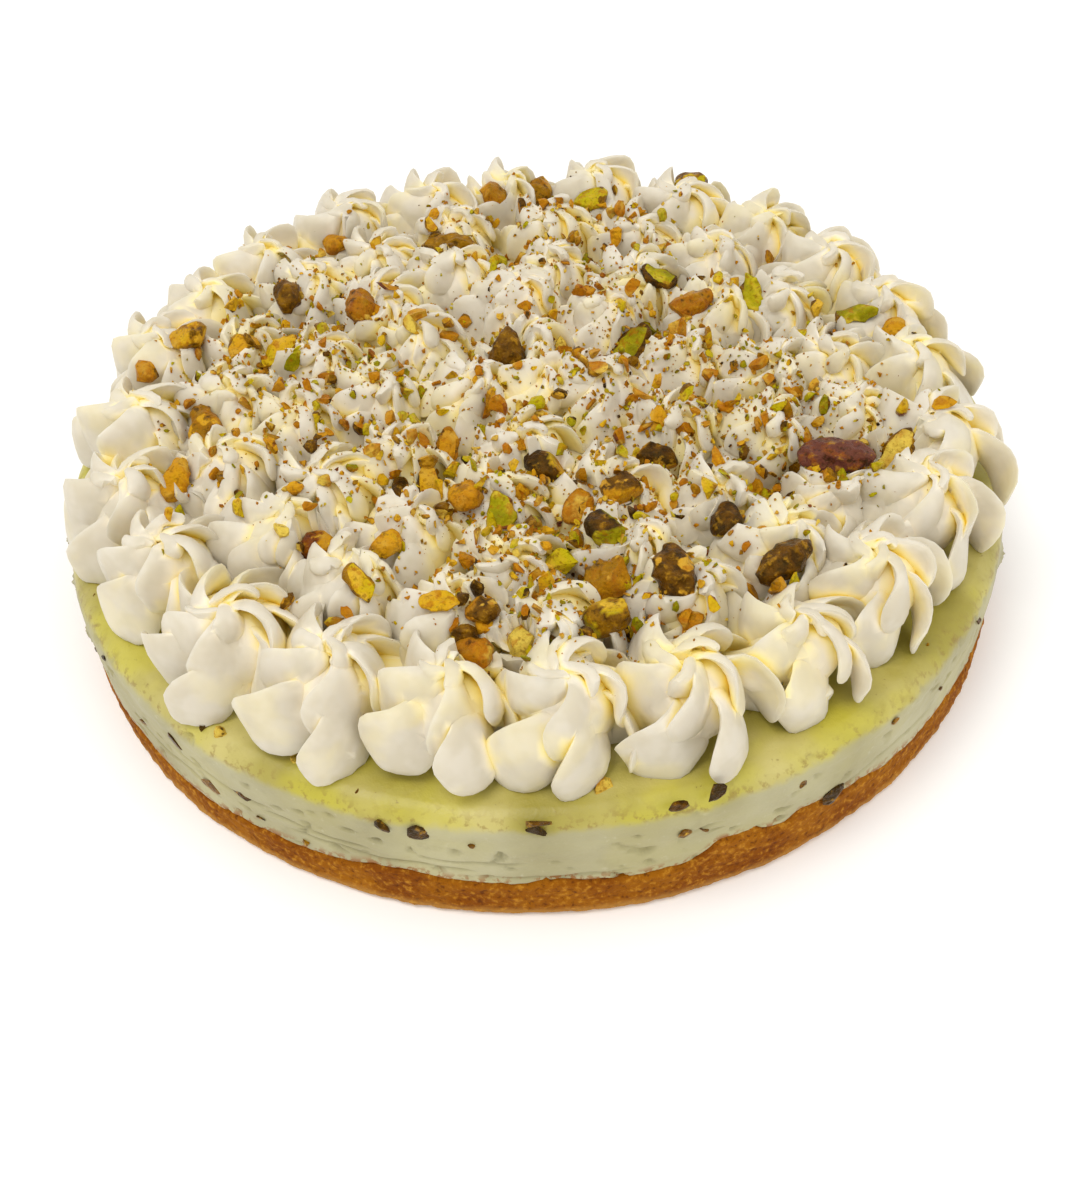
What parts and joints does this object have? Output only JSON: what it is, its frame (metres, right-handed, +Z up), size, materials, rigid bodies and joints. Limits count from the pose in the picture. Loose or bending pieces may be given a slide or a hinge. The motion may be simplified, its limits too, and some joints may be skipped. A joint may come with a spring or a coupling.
{
  "type": "pistachio cheesecake",
  "caption": "Round baked cheesecake on a biscuit crust, topped with piped cream rosettes and toasted pistachio kernels; rests on its flat underside.",
  "frame": {"origin": "centre of the cake's flat underside", "axes": "+Z up through the middle of the cake, -Y towards the picture's viewer, +X to the viewer's right"},
  "size_m": [0.2299, 0.2302, 0.0583],
  "materials": {
    "crust": "pressed golden-brown biscuit crumbs, matt and grainy",
    "cheesecake": "pale pistachio-green set cheesecake, moist yellow-green skin on top",
    "cream": "warm white whipped cream, smooth and soft, yellower in the creases",
    "pistachio": "toasted pistachio, brown and purple skins with green and golden cut faces"
  },
  "bodies": {
    "root": {"crust": "crust", "filling": "cheesecake", "cream": "cream", "kernel_01": "pistachio", "kernel_02": "pistachio", "kernel_03": "pistachio", "kernel_04": "pistachio", "kernel_05": "pistachio", "kernel_06": "pistachio", "kernel_07": "pistachio", "kernel_08": "pistachio", "kernel_09": "pistachio", "kernel_10": "pistachio", "kernel_11": "pistachio", "kernel_12": "pistachio", "kernel_13": "pistachio", "kernel_14": "pistachio", "kernel_15": "pistachio", "kernel_16": "pistachio", "kernel_17": "pistachio", "kernel_18": "pistachio", "kernel_19": "pistachio", "kernel_20": "pistachio", "kernel_21": "pistachio", "kernel_22": "pistachio", "kernel_23": "pistachio", "kernel_24": "pistachio", "kernel_25": "pistachio", "kernel_26": "pistachio", "kernel_27": "pistachio", "kernel_28": "pistachio", "kernel_29": "pistachio", "kernel_30": "pistachio", "kernel_31": "pistachio", "kernel_32": "pistachio", "kernel_33": "pistachio", "kernel_34": "pistachio", "kernel_35": "pistachio", "kernel_36": "pistachio", "kernel_37": "pistachio", "kernel_38": "pistachio", "kernel_39": "pistachio", "kernel_40": "pistachio", "kernel_41": "pistachio", "kernel_42": "pistachio", "kernel_43": "pistachio", "kernel_44": "pistachio"}
  },
  "joints": []
}
